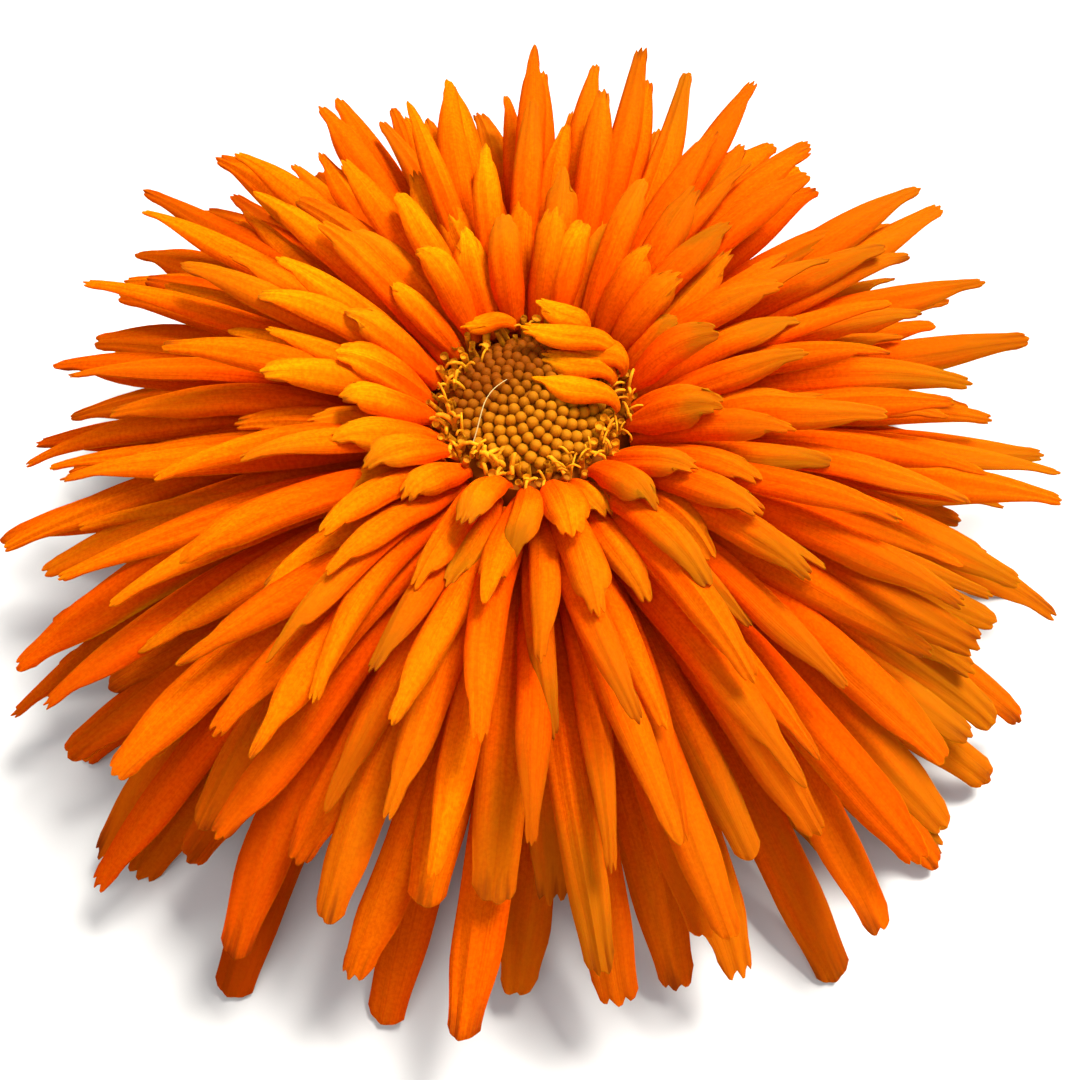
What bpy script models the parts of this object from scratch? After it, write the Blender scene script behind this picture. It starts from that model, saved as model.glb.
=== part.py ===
# A marigold flower head as picked: ray petals in seven tiers round a disc of small florets, on a
# green receptacle with its bracts and a short cut stem.  Metres, +Z up; the flower rests on the
# tips of its lowest petals and on the cut stem, and its viewer's side is -Y.

import math
import random
from dataclasses import dataclass

import bmesh
import bpy
from mathutils import Vector

MM = 0.001

# Driving dimensions.  Heights are measured from the cut end of the stem.
SEED = 42
PETAL_THICKNESS = 0.4 * MM
CLAW_WIDTH = 1.1 * MM  # the narrow foot of a petal
PETAL_WIDTH = 3.3 * MM
PETAL_ARCH = 0.32  # how far a petal's edges fall below its midline, as a share of half its width
PETAL_ROWS = 5
TIP_SHARE = 0.36  # width at the tip, as a share of the blade's
LEAN = math.radians(4.0)  # petals lie lower on the viewer's side and stand higher on the far side

STEM_RADIUS = 2.0 * MM
RECEPTACLE_RADIUS = 6.6 * MM
RECEPTACLE_TOP = 17.2 * MM
DISC_RADIUS = 5.3 * MM
DISC_BASE = 17.9 * MM
DISC_RISE = 1.7 * MM
BUD_RISE = 0.3 * MM
FLORET_RING_OUTER = 6.15 * MM
FLORET_RING_INNER = 5.6 * MM
FLORET_RING_HEIGHT = 0.9 * MM
FLORET_COUNT = 36


@dataclass
class Tier:
    """One whorl of petals.  Angles are above level, at the petal's foot and at its tip."""

    name: str
    groups: tuple  # compass angles of the groups of petals that grow side by side
    radius: float
    height: float
    length: float
    foot_angle: float
    tip_angle: float
    spacing: float  # compass angle between neighbouring petals
    foot_pitch: float = 1.1 * MM  # distance between neighbouring feet
    width: float = 1.0
    lean: float = 1.0
    arch: float = 1.0  # -1 where the edges turn the other way
    yaw: float = 0.0  # turns the petals' run away from straight outward


def around(count, start):
    """Compass angles of a full ring of groups."""
    return tuple(start + 360.0 * index / count for index in range(count))


TIERS = (
    Tier(
        "skirt", around(8, -90), 7.4 * MM, 13.4 * MM, 30.8 * MM, -10, -42, 15.0,
        width=0.95, lean=0.0,
    ),
    Tier(
        "low", around(9, -81), 7.6 * MM, 14.3 * MM, 31.3 * MM, 4, -32, 13.3,
        width=0.92, lean=0.5,
    ),
    Tier(
        "level", around(9, -97), 7.75 * MM, 15.1 * MM, 28.8 * MM, 17, -24, 13.3,
        foot_pitch=1.2 * MM, width=0.9,
    ),
    Tier(
        "raised", around(8, -76), 7.75 * MM, 15.9 * MM, 24.2 * MM, 29, -12, 15.0,
        foot_pitch=1.5 * MM, width=0.95,
    ),
    Tier(
        "upper", around(7, -96), 7.65 * MM, 16.7 * MM, 18.6 * MM, 41, -4, 17.1,
        foot_pitch=1.8 * MM,
    ),
    Tier(
        "short", around(6, -78), 7.5 * MM, 17.4 * MM, 13.6 * MM, 53, 4, 20.0,
        foot_pitch=2.1 * MM,
    ),
    Tier(
        "inner", around(4, 10), 7.25 * MM, 18.5 * MM, 9.0 * MM, 68, 14, 27.0,
        foot_pitch=2.8 * MM, width=0.95,
    ),
)
PETALS_IN_GROUP = 3


def fold(compass, run_compass, length, tip_angle):
    """A lone short petal at the disc's edge that is folded back over the disc."""
    return Tier(
        "folded", (compass,), 6.69 * MM, 18.6 * MM, length, 78, tip_angle, 0.0,
        width=0.78, lean=0.0, arch=-1.0, yaw=run_compass - 180.0 - compass,
    )


FOLDS = (
    fold(-10, 170, 8.4 * MM, 206),
    fold(12, 168, 9.4 * MM, 202),
    fold(37, 163, 9.6 * MM, 180),
    fold(58, 158, 8.4 * MM, 166),
)
BRACTS = Tier(
    "bract", around(2, 0), 6.8 * MM, 12.0 * MM, 8.0 * MM, -24, -60, 22.5,
    foot_pitch=2.3 * MM, width=0.7, lean=0.0,
)
BRACTS_IN_GROUP = 8


@dataclass
class Petal:
    """A petal's own course, in the frame of its group, which looks along +X."""

    foot_turn: float
    turn: float
    radius: float
    height: float
    length: float
    foot_angle: float
    tip_angle: float
    half_width: float
    roll: float
    sway: float
    arch: float


def eased(value):
    """Smooth step from 0 to 1."""
    value = min(max(value, 0.0), 1.0)
    return value * value * (3.0 - 2.0 * value)


def petals_of(tier, tier_number, group, count=PETALS_IN_GROUP):
    """The petals that grow side by side in one group, each a little different."""
    dice = random.Random(SEED + 100 * tier_number + group)
    petals = []
    for number in range(count):
        side = number - (count - 1) / 2
        turn = side * tier.spacing + dice.uniform(-0.1, 0.1) * tier.spacing
        compass = math.radians(tier.groups[group] + turn)
        lean = LEAN * tier.lean * math.sin(compass)
        petals.append(
            Petal(
                foot_turn=side * tier.foot_pitch / tier.radius,
                turn=math.radians(turn * 1.1 + tier.yaw),
                radius=tier.radius,
                height=tier.height,
                length=tier.length * dice.uniform(0.86, 1.06),
                foot_angle=math.radians(tier.foot_angle + dice.uniform(-1.5, 1.5)) + lean,
                tip_angle=math.radians(tier.tip_angle + dice.uniform(-5.0, 5.0)) + lean,
                half_width=0.5 * PETAL_WIDTH * tier.width * dice.uniform(0.85, 1.08),
                roll=math.radians(dice.uniform(-12.0, 12.0)),
                sway=dice.uniform(-0.045, 0.045) * tier.length,
                arch=tier.arch,
            )
        )
    return petals


def petal_point(petal, across, along):
    """A point of the petal's upper face: across from -1 to 1, along from 0 at the foot to 1."""
    bend = petal.tip_angle - petal.foot_angle
    angle = petal.foot_angle + bend * along
    reach = petal.length * (math.sin(angle) - math.sin(petal.foot_angle)) / bend
    climb = -petal.length * (math.cos(angle) - math.cos(petal.foot_angle)) / bend
    level_way = Vector((math.cos(petal.turn), math.sin(petal.turn), 0.0))
    side_way = Vector((-math.sin(petal.turn), math.cos(petal.turn), 0.0))
    up_way = Vector((0.0, 0.0, math.cos(angle))) - level_way * math.sin(angle)
    foot = Vector((math.cos(petal.foot_turn), math.sin(petal.foot_turn), 0.0)) * petal.radius
    foot.z = petal.height

    claw = 0.5 * CLAW_WIDTH
    half = claw + (petal.half_width - claw) * eased(along / 0.5)
    half *= TIP_SHARE + (1.0 - TIP_SHARE) * eased((1.0 - along) / 0.35)
    roll = petal.roll * eased(along / 0.5)
    fall = petal.arch * PETAL_ARCH * half * across * across * eased(along / 0.3)
    spine = foot + level_way * reach + Vector((0.0, 0.0, climb)) + side_way * petal.sway * along * along
    sideways = across * half * math.cos(roll) + fall * math.sin(roll)
    upward = across * half * math.sin(roll) - fall * math.cos(roll)
    return spine + side_way * sideways + up_way * upward


def petal_group_mesh(name, petals):
    """One sheet with a lobe for each petal, joined only along their feet."""
    columns = 2 * len(petals)
    bm = bmesh.new()
    bmesh.ops.create_grid(bm, x_segments=columns, y_segments=PETAL_ROWS, size=1.0)
    column_of = {vert: round((vert.co.x + 1.0) / 2.0 * columns) for vert in bm.verts}
    row_of = {vert: round((vert.co.y + 1.0) / 2.0 * PETAL_ROWS) for vert in bm.verts}
    places = [(column_of[vert], row_of[vert]) for vert in bm.verts]
    for vert, (column, row) in zip(list(bm.verts), places):
        vert.co = (column, row, 0.0)
    between = [
        edge
        for edge in bm.edges
        if all(round(vert.co.x) % 2 == 0 and 0 < round(vert.co.x) < columns for vert in edge.verts)
        and abs(edge.verts[0].co.x - edge.verts[1].co.x) < 0.5
        and min(vert.co.y for vert in edge.verts) > 0.5
    ]
    bmesh.ops.split_edges(bm, edges=between)
    shaped = {}
    for vert in bm.verts:
        lobes = {int(face.calc_center_median().x // 2) for face in vert.link_faces}
        along = (vert.co.y / PETAL_ROWS) ** 1.5
        points = [petal_point(petals[lobe], vert.co.x - 2 * lobe - 1, along) for lobe in sorted(lobes)]
        shaped[vert] = sum(points, Vector()) / len(points)
    for vert, point in shaped.items():
        vert.co = point
    bmesh.ops.recalc_face_normals(bm, faces=bm.faces)
    mesh = bpy.data.meshes.new(name)
    bm.to_mesh(mesh)
    bm.free()
    return mesh


def petal_group(name, petals, compass, material, collection, root):
    """A group of petals as one solid, turned to its compass angle."""
    mesh = petal_group_mesh(name, petals)
    group = add_object(name, mesh, material, collection, root)
    group.rotation_euler.z = math.radians(compass)
    skin = group.modifiers.new("thickness", "SOLIDIFY")
    skin.thickness = PETAL_THICKNESS
    skin.offset = -1.0
    return group


def make_material(name, colour, roughness):
    material = bpy.data.materials.new(name)
    material.use_nodes = True
    shader = material.node_tree.nodes["Principled BSDF"]
    shader.inputs["Base Color"].default_value = (*colour, 1.0)
    shader.inputs["Roughness"].default_value = roughness
    shader.inputs["Metallic"].default_value = 0.0
    material.diffuse_color = (*colour, 1.0)
    return material


def add_object(name, mesh, material, collection, root):
    mesh.materials.append(material)
    mesh.shade_smooth()
    mesh.set_sharp_from_angle(angle=math.radians(50))
    made = bpy.data.objects.new(name, mesh)
    collection.objects.link(made)
    made.parent = root
    return made


def add_receptacle(material, collection, root):
    """The cup that carries everything, turned in one piece with the cut stem under it."""
    profile = (
        (0.0, RECEPTACLE_TOP + 0.3 * MM),
        (4.0 * MM, RECEPTACLE_TOP + 0.2 * MM),
        (RECEPTACLE_RADIUS - 0.2 * MM, RECEPTACLE_TOP),
        (RECEPTACLE_RADIUS + 0.3 * MM, 16.0 * MM),
        (RECEPTACLE_RADIUS + 0.3 * MM, 14.2 * MM),
        (RECEPTACLE_RADIUS, 12.9 * MM),
        (6.3 * MM, 11.7 * MM),
        (4.2 * MM, 10.4 * MM),
        (2.6 * MM, 9.2 * MM),
        (STEM_RADIUS, 7.4 * MM),
        (STEM_RADIUS, 0.0),
        (0.0, 0.0),
    )
    bm = bmesh.new()
    verts = [bm.verts.new((radius, 0.0, height)) for radius, height in profile]
    for above, below in zip(verts, verts[1:]):
        bm.edges.new((above, below))
    mesh = bpy.data.meshes.new("receptacle_and_cut_stem")
    bm.to_mesh(mesh)
    bm.free()
    turned = add_object("receptacle_and_cut_stem", mesh, material, collection, root)
    screw = turned.modifiers.new("turned", "SCREW")
    screw.steps = 20
    screw.render_steps = 20
    screw.use_merge_vertices = True
    screw.merge_threshold = 0.00001
    return turned


def add_disc(material, collection, root):
    """The domed cushion of closed florets: a cap of a faceted ball, each facet raised as a bud."""
    ball = (DISC_RADIUS**2 + DISC_RISE**2) / (2.0 * DISC_RISE)
    bm = bmesh.new()
    bmesh.ops.create_icosphere(bm, subdivisions=3, radius=ball)
    everything = list(bm.verts) + list(bm.edges) + list(bm.faces)
    cut = (0.0, 0.0, ball - DISC_RISE)
    bmesh.ops.bisect_plane(bm, geom=everything, plane_co=cut, plane_no=(0, 0, 1), clear_inner=True)
    buds = list(bm.faces)
    rim = [edge for edge in bm.edges if edge.is_boundary]
    bmesh.ops.holes_fill(bm, edges=rim, sides=0)
    bmesh.ops.poke(bm, faces=buds, offset=BUD_RISE)
    bmesh.ops.translate(bm, vec=(0.0, 0.0, DISC_BASE - cut[2]), verts=bm.verts)
    bmesh.ops.recalc_face_normals(bm, faces=bm.faces)
    mesh = bpy.data.meshes.new("disc_of_buds")
    bm.to_mesh(mesh)
    bm.free()
    return add_object("disc_of_buds", mesh, material, collection, root)


def add_floret_ring(material, collection, root):
    """The ring of opened florets at the disc's edge, with every other one standing higher."""
    bm = bmesh.new()
    segments = 2 * FLORET_COUNT
    bmesh.ops.create_circle(bm, segments=segments, radius=FLORET_RING_INNER)
    inner = list(bm.edges)
    outer = bmesh.ops.extrude_edge_only(bm, edges=inner)["geom"]
    moved = [item for item in outer if isinstance(item, bmesh.types.BMVert)]
    widen = FLORET_RING_OUTER / FLORET_RING_INNER
    bmesh.ops.scale(bm, vec=(widen, widen, 1.0), verts=moved)
    floor = list(bm.faces)
    raised = bmesh.ops.extrude_face_region(bm, geom=floor, use_keep_orig=True)["geom"]
    tops = [item for item in raised if isinstance(item, bmesh.types.BMFace)]
    lifted = [item for item in raised if isinstance(item, bmesh.types.BMVert)]
    bmesh.ops.translate(bm, vec=(0.0, 0.0, FLORET_RING_HEIGHT), verts=lifted)
    tops.sort(key=lambda face: math.atan2(face.calc_center_median().y, face.calc_center_median().x))
    taller = bmesh.ops.extrude_discrete_faces(bm, faces=tops[::2])["faces"]
    bmesh.ops.translate(bm, vec=(0.0, 0.0, 0.5 * MM), verts=list({v for f in taller for v in f.verts}))
    bmesh.ops.translate(bm, vec=(0.0, 0.0, DISC_BASE), verts=bm.verts)
    bmesh.ops.recalc_face_normals(bm, faces=bm.faces)
    mesh = bpy.data.meshes.new("opened_florets")
    bm.to_mesh(mesh)
    bm.free()
    return add_object("opened_florets", mesh, material, collection, root)


def centre_on_origin(collection, root):
    """Moves the whole flower so that its box is centred on the origin and stands on z = 0."""
    bpy.context.view_layer.update()
    graph = bpy.context.evaluated_depsgraph_get()
    corners = []
    for made in collection.objects:
        if made.type != "MESH":
            continue
        evaluated = made.evaluated_get(graph)
        corners += [evaluated.matrix_world @ vert.co for vert in evaluated.data.vertices]
    low = Vector([min(corner[axis] for corner in corners) for axis in range(3)])
    high = Vector([max(corner[axis] for corner in corners) for axis in range(3)])
    root.location = (-(low.x + high.x) / 2, -(low.y + high.y) / 2, -low.z)


def build():
    for old in list(bpy.data.objects):
        bpy.data.objects.remove(old, do_unlink=True)
    collection = bpy.data.collections.new("marigold_flower")
    bpy.context.scene.collection.children.link(collection)
    root = bpy.data.objects.new("marigold_root", None)
    collection.objects.link(root)

    orange = make_material("petal_orange", (0.85, 0.19, 0.006), 0.6)
    gold = make_material("floret_gold", (0.5, 0.2, 0.01), 0.6)
    green = make_material("receptacle_green", (0.13, 0.2, 0.05), 0.65)

    add_receptacle(green, collection, root)
    add_disc(gold, collection, root)
    add_floret_ring(gold, collection, root)
    for group, compass in enumerate(BRACTS.groups):
        petals = petals_of(BRACTS, 20, group, BRACTS_IN_GROUP)
        petal_group(f"bracts_{group + 1}", petals, compass, green, collection, root)
    for tier_number, tier in enumerate(TIERS, start=1):
        for group, compass in enumerate(tier.groups):
            petals = petals_of(tier, tier_number, group)
            petal_group(f"{tier.name}_petals_{group + 1}", petals, compass, orange, collection, root)
    for number, tier in enumerate(FOLDS, start=1):
        petals = petals_of(tier, 10 + number, 0, 1)
        petal_group(f"folded_petal_{number}", petals, tier.groups[0], orange, collection, root)
    centre_on_origin(collection, root)


build()
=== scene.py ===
import bpy
import bmesh
import math
import random
from mathutils import Matrix, Vector


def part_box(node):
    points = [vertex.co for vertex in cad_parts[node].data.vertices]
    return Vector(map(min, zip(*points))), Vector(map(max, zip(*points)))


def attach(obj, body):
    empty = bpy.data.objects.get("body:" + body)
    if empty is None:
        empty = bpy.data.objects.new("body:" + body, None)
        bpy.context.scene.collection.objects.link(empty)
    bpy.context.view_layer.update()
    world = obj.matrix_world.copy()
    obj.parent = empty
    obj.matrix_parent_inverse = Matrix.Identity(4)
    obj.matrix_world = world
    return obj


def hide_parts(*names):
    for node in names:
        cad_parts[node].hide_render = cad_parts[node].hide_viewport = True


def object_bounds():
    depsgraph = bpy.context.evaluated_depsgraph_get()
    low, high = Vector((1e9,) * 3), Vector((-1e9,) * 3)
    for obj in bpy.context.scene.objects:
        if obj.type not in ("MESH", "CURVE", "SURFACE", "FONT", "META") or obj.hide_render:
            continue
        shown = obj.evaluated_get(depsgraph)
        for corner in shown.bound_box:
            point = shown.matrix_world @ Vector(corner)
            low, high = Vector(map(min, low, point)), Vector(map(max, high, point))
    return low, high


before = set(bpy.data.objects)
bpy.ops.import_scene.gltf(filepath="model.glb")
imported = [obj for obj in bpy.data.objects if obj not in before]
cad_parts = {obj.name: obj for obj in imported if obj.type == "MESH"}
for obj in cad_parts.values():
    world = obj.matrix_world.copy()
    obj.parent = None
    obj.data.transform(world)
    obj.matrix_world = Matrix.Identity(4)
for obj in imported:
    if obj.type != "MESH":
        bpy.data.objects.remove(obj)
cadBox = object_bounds()
mm = 0.001

# The flower's own axis and the height of the CAD's zero, read from the disc's place in the frame.
flower = {"petalWidth": 3.3, "lean": 4.0, "discBase": 17.9}
discLow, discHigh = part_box("disc_of_buds")
axisPoint = Vector(((discLow[0] + discHigh[0]) / 2, (discLow[1] + discHigh[1]) / 2, 0.0))
axisPoint.z = discLow[2] - flower["discBase"] * mm


def eased(value):
    value = min(max(value, 0.0), 1.0)
    return value * value * (3.0 - 2.0 * value)


def mixed(low, high, share):
    return low + (high - low) * share


# ---- materials ----
def newMaterial(name):
    material = bpy.data.materials.new(name)
    material.use_nodes = True
    tree = material.node_tree
    return material, tree, tree.nodes["Principled BSDF"]


def addNode(tree, kind, **values):
    node = tree.nodes.new(kind)
    for key, value in values.items():
        setattr(node, key, value)
    return node


def colourRamp(tree, stops):
    ramp = tree.nodes.new("ShaderNodeValToRGB")
    while len(ramp.color_ramp.elements) < len(stops):
        ramp.color_ramp.elements.new(0.5)
    for element, (position, colour) in zip(ramp.color_ramp.elements, stops):
        element.position = position
        element.color = (*colour, 1.0)
    return ramp


def mathNode(tree, operation, first, second=None, third=None, clamp=False):
    node = tree.nodes.new("ShaderNodeMath")
    node.operation = operation
    node.use_clamp = clamp
    for socket, value in zip(node.inputs, (first, second, third)):
        if value is None:
            continue
        if isinstance(value, (int, float)):
            socket.default_value = value
        else:
            tree.links.new(value, socket)
    return node.outputs[0]


def stepNode(tree, value, low, high):
    node = tree.nodes.new("ShaderNodeMapRange")
    node.interpolation_type = "SMOOTHSTEP"
    node.inputs["From Min"].default_value = low
    node.inputs["From Max"].default_value = high
    tree.links.new(value, node.inputs["Value"])
    return node.outputs[0]


def mixColour(tree, blend, factor, first, second):
    node = tree.nodes.new("ShaderNodeMix")
    node.data_type = "RGBA"
    node.blend_type = blend
    if isinstance(factor, (int, float)):
        node.inputs[0].default_value = factor
    else:
        tree.links.new(factor, node.inputs[0])
    for socket, value in ((node.inputs[6], first), (node.inputs[7], second)):
        if isinstance(value, tuple):
            socket.default_value = (*value, 1.0)
        else:
            tree.links.new(value, socket)
    return node.outputs[2]


def noiseNode(tree, vector, scale, detail=3.0, roughness=0.55, stretch=None):
    if stretch:
        mapping = tree.nodes.new("ShaderNodeMapping")
        mapping.inputs["Scale"].default_value = stretch
        tree.links.new(vector, mapping.inputs["Vector"])
        vector = mapping.outputs[0]
    noise = tree.nodes.new("ShaderNodeTexNoise")
    noise.inputs["Scale"].default_value = scale
    noise.inputs["Detail"].default_value = detail
    noise.inputs["Roughness"].default_value = roughness
    tree.links.new(vector, noise.inputs["Vector"])
    return noise.outputs["Fac"]


# painted light in these colours: the foot colour, the colour that darkens the downturned edges and the outer
# petals' shade colour are painted shade, and the reddest orange is partly a painted glow
petalColours = {
    "deepFootAndShade": (0.88, 0.066, 0.0003),
    "redAndPaintedGlow": (0.86, 0.088, 0.0003),
    "orange": (0.88, 0.155, 0.0006),
    "gold": (1.0, 0.275, 0.0012),
    "olive": (0.38, 0.1, 0.002),
    "brown": (0.16, 0.035, 0.003),
    "edge": (0.84, 0.5, 0.5),
    "line": (0.80, 0.55, 0.4),
    "speckle": (0.84, 0.66, 0.6),
    "paintedOuterShade": (0.68, 0.38, 0.4),
}
petalFinish = {
    "line": 0.45, "speckle": 0.75, "edge": 0.8, "redAndPaintedGlow": 0.75, "bump": 0.55, "bumpDepth": 0.00012,
    "roughness": 0.5, "softness": 0.4, "softnessDepth": 0.0015,
}


def petalMaterial(name, colours, goldShare=0.45, oliveShare=1.0, footShadeShare=0.92):
    material, tree, shader = newMaterial(name)
    links = tree.links
    place = addNode(tree, "ShaderNodeAttribute", attribute_name="petalPlace").outputs["Vector"]
    mood = addNode(tree, "ShaderNodeAttribute", attribute_name="petalMood").outputs["Vector"]
    placeParts = tree.nodes.new("ShaderNodeSeparateXYZ")
    moodParts = tree.nodes.new("ShaderNodeSeparateXYZ")
    links.new(place, placeParts.inputs[0])
    links.new(mood, moodParts.inputs[0])
    across, along, tone = placeParts.outputs
    oliveness, rednessAndPaintedGlow, browning = moodParts.outputs
    objectPlace = tree.nodes.new("ShaderNodeTexCoord").outputs["Object"]

    veins = noiseNode(tree, place, 1.0, 4.0, 0.6, (15.0, 1.3, 9.0))
    patches = noiseNode(tree, place, 1.0, 3.0, 0.6, (1.6, 3.2, 23.0))
    grain = noiseNode(tree, objectPlace, 4200.0, 2.0)

    # gold where the light petals are youngest and toward the tips
    share = mathNode(tree, "MULTIPLY_ADD", patches, 1.1, goldShare - 0.55)
    share = mathNode(tree, "ADD", share, mathNode(tree, "MULTIPLY_ADD", tone, 0.6, -0.3))
    share = mathNode(tree, "ADD", share, mathNode(tree, "MULTIPLY_ADD", along, 0.7, -0.5))
    share = mathNode(tree, "SUBTRACT", share, mathNode(tree, "MULTIPLY", rednessAndPaintedGlow, 0.55), clamp=True)
    body = mixColour(tree, "MIX", share, colours["orange"], colours["gold"])
    # reddening is partly the outer petals' own colour and partly a painted glow on the east side
    redAndPaintedGlowShare = mathNode(tree, "MULTIPLY", rednessAndPaintedGlow, petalFinish["redAndPaintedGlow"], clamp=True)
    body = mixColour(tree, "MIX", redAndPaintedGlowShare, body, colours["redAndPaintedGlow"])
    # painted shade: the foot is deepened where the petals above cover it, partly also the petal's own deeper
    # base
    footward = mathNode(tree, "ADD", along, mathNode(tree, "MULTIPLY_ADD", patches, 0.3, -0.15))
    foot = stepNode(tree, footward, 0.92, 0.14)
    body = mixColour(tree, "MIX", mathNode(tree, "MULTIPLY", foot, footShadeShare), body, colours["deepFootAndShade"])

    # fine lines run the length of the petal
    lines = mathNode(tree, "MULTIPLY", stepNode(tree, veins, 0.42, 0.66), petalFinish["line"])
    body = mixColour(tree, "MULTIPLY", lines, body, colours["line"])
    speckle = mathNode(tree, "MULTIPLY", stepNode(tree, grain, 0.36, 0.66), petalFinish["speckle"])
    body = mixColour(tree, "MULTIPLY", speckle, body, colours["speckle"])

    # painted shade darkens the downturned edges; olive ends and a brown rim on the oldest tips
    edge = stepNode(tree, mathNode(tree, "ABSOLUTE", across), 0.35, 1.0)
    edge = mathNode(tree, "MULTIPLY", edge, petalFinish["edge"])
    body = mixColour(tree, "MULTIPLY", edge, body, colours["edge"])
    tipward = mathNode(tree, "ADD", along, mathNode(tree, "MULTIPLY_ADD", patches, 0.5, -0.25))
    olive = mathNode(tree, "MULTIPLY", stepNode(tree, tipward, 0.5, 0.92), oliveness)
    body = mixColour(tree, "MIX", mathNode(tree, "MULTIPLY", olive, oliveShare), body, colours["olive"])
    rim = mathNode(tree, "MULTIPLY", stepNode(tree, tipward, 0.93, 1.1), browning)
    body = mixColour(tree, "MIX", rim, body, colours["brown"])
    # painted shade: the outer petals are darkened, most of all on the west side
    paintedOuterShade = addNode(tree, "ShaderNodeAttribute", attribute_name="petalPaintedShade").outputs["Fac"]
    body = mixColour(tree, "MULTIPLY", paintedOuterShade, body, colours["paintedOuterShade"])
    links.new(body, shader.inputs["Base Color"])

    bump = tree.nodes.new("ShaderNodeBump")
    bump.inputs["Strength"].default_value = petalFinish["bump"]
    bump.inputs["Distance"].default_value = petalFinish["bumpDepth"]
    height = mathNode(tree, "MULTIPLY_ADD", grain, 0.25, veins)
    links.new(height, bump.inputs["Height"])
    links.new(bump.outputs[0], shader.inputs["Normal"])
    shader.inputs["Roughness"].default_value = petalFinish["roughness"]
    shader.inputs["Specular IOR Level"].default_value = 0.0
    shader.inputs["Subsurface Weight"].default_value = petalFinish["softness"]
    shader.inputs["Subsurface Radius"].default_value = (1.0, 0.25, 0.02)
    shader.inputs["Subsurface Scale"].default_value = petalFinish["softnessDepth"]
    return material


def plantMaterial(name, dark, light, scale, roughness=0.6, attribute=None):
    material, tree, shader = newMaterial(name)
    links = tree.links
    objectPlace = tree.nodes.new("ShaderNodeTexCoord").outputs["Object"]
    blotches = noiseNode(tree, objectPlace, scale, 4.0)
    if attribute:
        value = addNode(tree, "ShaderNodeAttribute", attribute_name=attribute).outputs["Fac"]
        wander = mathNode(tree, "MULTIPLY_ADD", blotches, 0.7, -0.35)
        factor = mathNode(tree, "ADD", value, wander, clamp=True)
    else:
        factor = stepNode(tree, blotches, 0.35, 0.65)
    middle = tuple(mixed(a, b, 0.5) for a, b in zip(dark, light))
    ramp = colourRamp(tree, ((0.0, dark), (0.55, middle), (1.0, light)))
    links.new(factor, ramp.inputs[0])
    links.new(ramp.outputs[0], shader.inputs["Base Color"])
    bump = tree.nodes.new("ShaderNodeBump")
    bump.inputs["Strength"].default_value = 0.5
    bump.inputs["Distance"].default_value = 0.0001
    links.new(noiseNode(tree, objectPlace, scale * 4.0, 3.0), bump.inputs["Height"])
    links.new(bump.outputs[0], shader.inputs["Normal"])
    shader.inputs["Roughness"].default_value = roughness
    shader.inputs["Specular IOR Level"].default_value = 0.15
    shader.inputs["Specular Tint"].default_value = (1.0, 0.6, 0.2, 1.0)
    shader.inputs["Subsurface Weight"].default_value = 0.15
    shader.inputs["Subsurface Radius"].default_value = (1.0, 0.6, 0.1)
    shader.inputs["Subsurface Scale"].default_value = 0.0006
    return material


rayMaterial = petalMaterial("rayPetalTissue", petalColours)
foldMaterial = petalMaterial("foldedPetalTissue", petalColours, goldShare=0.8, oliveShare=0.5, footShadeShare=0.45)
budMaterial = plantMaterial("budSkin", (0.22, 0.045, 0.0008), (0.48, 0.165, 0.003), 1400.0, 0.6, "budPaintedLight")
floretMaterial = plantMaterial("openFloretTissue", (0.28, 0.075, 0.002), (0.72, 0.27, 0.005), 900.0, 0.6)
styleMaterial = plantMaterial("styleTissue", (0.56, 0.18, 0.004), (0.84, 0.36, 0.008), 1200.0, 0.5)
hairMaterial = plantMaterial("paleHair", (0.55, 0.42, 0.16), (0.8, 0.66, 0.3), 500.0, 0.5)
bractMaterial = plantMaterial("bractGreen", (0.035, 0.075, 0.012), (0.12, 0.2, 0.035), 420.0, 0.65)
stemMaterial = plantMaterial("stemGreen", (0.06, 0.11, 0.02), (0.2, 0.27, 0.07), 300.0, 0.62)


def paintClawShadeOnTop(material, height, colour):
    # above this height the green gives way to the colour of the petals' claws, darkened as painted shade
    tree = material.node_tree
    shader = tree.nodes["Principled BSDF"]
    green = shader.inputs["Base Color"].links[0].from_socket
    place = tree.nodes.new("ShaderNodeSeparateXYZ")
    tree.links.new(tree.nodes["Texture Coordinate"].outputs["Object"], place.inputs[0])
    share = stepNode(tree, place.outputs[2], height, height + 0.0015)
    tree.links.new(mixColour(tree, "MIX", share, green, colour), shader.inputs["Base Color"])


paintClawShadeOnTop(stemMaterial, axisPoint.z + 14.2 * mm, (0.30, 0.055, 0.001))
print("materials ready")


# ---- petals ----
# where along a petal each change starts, and how long it takes, as shares of its length
petalZones = {
    "opening": (0.0, 0.35), "furrow": (0.0, 0.2), "roll": (0.0, 0.5), "flattening": (0.7, 0.3),
    "rounding": (0.8, 0.2), "teeth": (0.88, 0.12),
}


def zoneShare(zone, along):
    start, width = petalZones[zone]
    return eased((along - start) / width)


def spineOf(petal, look):
    rows = look["rows"]
    alongs = [1.0 - (1.0 - row / rows) ** 1.35 for row in range(rows + 1)]
    bend = petal["tipAngle"] - petal["footAngle"]
    points = [(0.0, 0.0, petal["footAngle"])]
    for before, after in zip(alongs, alongs[1:]):
        middle = (before + after) / 2
        bent = middle if look["bendBy"] == 1.0 else eased(middle / look["bendBy"])
        angle = petal["footAngle"] + bend * bent
        angle += petal["wave"] * math.sin(2.0 * math.pi * (middle * petal["waves"] + petal["phase"]))
        angle -= petal["hood"] * eased((middle - look["hoodFrom"]) / (1.0 - look["hoodFrom"]))
        step = petal["length"] * (after - before)
        reach, climb, _ = points[-1]
        points.append((reach + step * math.cos(angle), climb + step * math.sin(angle), angle))
    return alongs, points


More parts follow.
